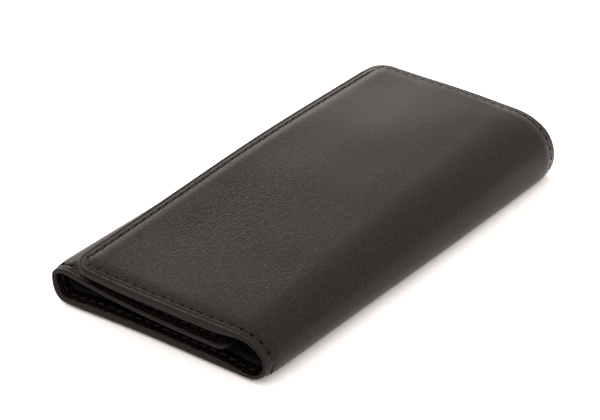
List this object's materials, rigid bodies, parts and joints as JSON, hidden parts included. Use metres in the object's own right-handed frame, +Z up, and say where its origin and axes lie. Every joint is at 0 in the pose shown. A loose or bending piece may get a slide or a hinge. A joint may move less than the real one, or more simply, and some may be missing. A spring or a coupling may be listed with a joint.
{
  "type": "key case",
  "caption": "Leather key case that folds in three: a cover over an inner flap, concealed press fasteners, and a riveted bar of swivelling key hooks with spring gates. Closed, lying on its back.",
  "frame": {"origin": "middle of the underside, on the floor under the closed case", "axes": "+X across the case from the flap's fold to the cover's fold, +Y along the case from the thin open end to the end with the hook bar, +Z up"},
  "size_m": [0.0604, 0.116, 0.0159],
  "materials": {
    "leather": "black, fine smooth grain with a soft sheen",
    "lining": "black, matt",
    "nickel": "nickel plated, bright"
  },
  "bodies": {
    "back_panel": {"back_leather": "leather", "back_lining": "lining", "hook_bar": "nickel", "bar_rivet_left": "nickel", "bar_rivet_right": "nickel"},
    "right_fold": {"right_fold_leather": "leather", "right_fold_lining": "lining"},
    "cover": {"cover_leather": "leather", "cover_lining": "lining", "snap_cap_near": "nickel", "snap_cap_far": "nickel", "snap_socket_near": "nickel", "snap_socket_far": "nickel"},
    "left_fold": {"left_fold_leather": "leather", "left_fold_lining": "lining"},
    "inner_flap": {"inner_flap_leather": "leather", "inner_flap_lining": "lining", "snap_stud_near": "nickel", "snap_stud_far": "nickel", "snap_post_near": "nickel", "snap_post_far": "nickel"},
    "hook_1": {"key_hook_1": "nickel", "gate_pin_1": "nickel"},
    "gate_1": {"hook_gate_1": "nickel"},
    "hook_2": {"key_hook_2": "nickel", "gate_pin_2": "nickel"},
    "gate_2": {"hook_gate_2": "nickel"},
    "hook_3": {"key_hook_3": "nickel", "gate_pin_3": "nickel"},
    "gate_3": {"hook_gate_3": "nickel"},
    "hook_4": {"key_hook_4": "nickel", "gate_pin_4": "nickel"},
    "gate_4": {"hook_gate_4": "nickel"},
    "hook_5": {"key_hook_5": "nickel", "gate_pin_5": "nickel"},
    "gate_5": {"hook_gate_5": "nickel"},
    "hook_6": {"key_hook_6": "nickel", "gate_pin_6": "nickel"},
    "gate_6": {"hook_gate_6": "nickel"}
  },
  "joints": [
    {"name": "right_fold_lower", "type": "hinge", "parent": "back_panel", "child": "right_fold", "pos_m": [0.028, 0, 0.001], "axis": [0, 1, 0], "range_deg": [0, 90]},
    {"name": "right_fold_upper", "type": "hinge", "parent": "right_fold", "child": "cover", "pos_m": [0.0279, 0, 0.013], "axis": [0, 0.9989, 0.046], "range_deg": [0, 90]},
    {"name": "left_fold_lower", "type": "hinge", "parent": "back_panel", "child": "left_fold", "pos_m": [-0.0281, 0, 0.0009], "axis": [0, -1, -0.0057], "range_deg": [0, 24]},
    {"name": "left_fold_upper", "type": "hinge", "parent": "left_fold", "child": "inner_flap", "pos_m": [-0.0281, 0, 0.00895], "axis": [0, -1, -0.0057], "range_deg": [0, 24]},
    {"name": "hook_1_swivel", "type": "hinge", "parent": "back_panel", "child": "hook_1", "pos_m": [-0.014, 0.0487, 0.0048], "axis": [0, 1, 0], "continuous": true},
    {"name": "hook_2_swivel", "type": "hinge", "parent": "back_panel", "child": "hook_2", "pos_m": [-0.0084, 0.0487, 0.0048], "axis": [0, 1, 0], "continuous": true},
    {"name": "hook_3_swivel", "type": "hinge", "parent": "back_panel", "child": "hook_3", "pos_m": [-0.0028, 0.0487, 0.0048], "axis": [0, 1, 0], "continuous": true},
    {"name": "hook_4_swivel", "type": "hinge", "parent": "back_panel", "child": "hook_4", "pos_m": [0.0028, 0.0487, 0.0048], "axis": [0, 1, 0], "continuous": true},
    {"name": "hook_5_swivel", "type": "hinge", "parent": "back_panel", "child": "hook_5", "pos_m": [0.0084, 0.0487, 0.0048], "axis": [0, 1, 0], "continuous": true},
    {"name": "hook_6_swivel", "type": "hinge", "parent": "back_panel", "child": "hook_6", "pos_m": [0.014, 0.0487, 0.0048], "axis": [0, 1, 0], "continuous": true},
    {"name": "gate_1_hinge", "type": "hinge", "parent": "hook_1", "child": "gate_1", "pos_m": [-0.01275, 0.04435, 0.0048], "axis": [0, 0, -1], "range_deg": [0, 6.5], "stiffness_Nm_per_rad": 0.01, "springref_deg": -5.73},
    {"name": "gate_2_hinge", "type": "hinge", "parent": "hook_2", "child": "gate_2", "pos_m": [-0.00715, 0.04435, 0.0048], "axis": [0, 0, -1], "range_deg": [0, 6.5], "stiffness_Nm_per_rad": 0.01, "springref_deg": -5.73},
    {"name": "gate_3_hinge", "type": "hinge", "parent": "hook_3", "child": "gate_3", "pos_m": [-0.00155, 0.04435, 0.0048], "axis": [0, 0, -1], "range_deg": [0, 6.5], "stiffness_Nm_per_rad": 0.01, "springref_deg": -5.73},
    {"name": "gate_4_hinge", "type": "hinge", "parent": "hook_4", "child": "gate_4", "pos_m": [0.00405, 0.04435, 0.0048], "axis": [0, 0, -1], "range_deg": [0, 6.5], "stiffness_Nm_per_rad": 0.01, "springref_deg": -5.73},
    {"name": "gate_5_hinge", "type": "hinge", "parent": "hook_5", "child": "gate_5", "pos_m": [0.00965, 0.04435, 0.0048], "axis": [0, 0, -1], "range_deg": [0, 6.5], "stiffness_Nm_per_rad": 0.01, "springref_deg": -5.73},
    {"name": "gate_6_hinge", "type": "hinge", "parent": "hook_6", "child": "gate_6", "pos_m": [0.01525, 0.04435, 0.0048], "axis": [0, 0, -1], "range_deg": [0, 6.5], "stiffness_Nm_per_rad": 0.01, "springref_deg": -5.73}
  ],
  "couplings": [
    {"joint": "right_fold_upper", "follows": "right_fold_lower", "ratio": 1},
    {"joint": "left_fold_lower", "follows": "right_fold_lower", "ratio": 0.26},
    {"joint": "left_fold_upper", "follows": "right_fold_lower", "ratio": 0.26}
  ]
}
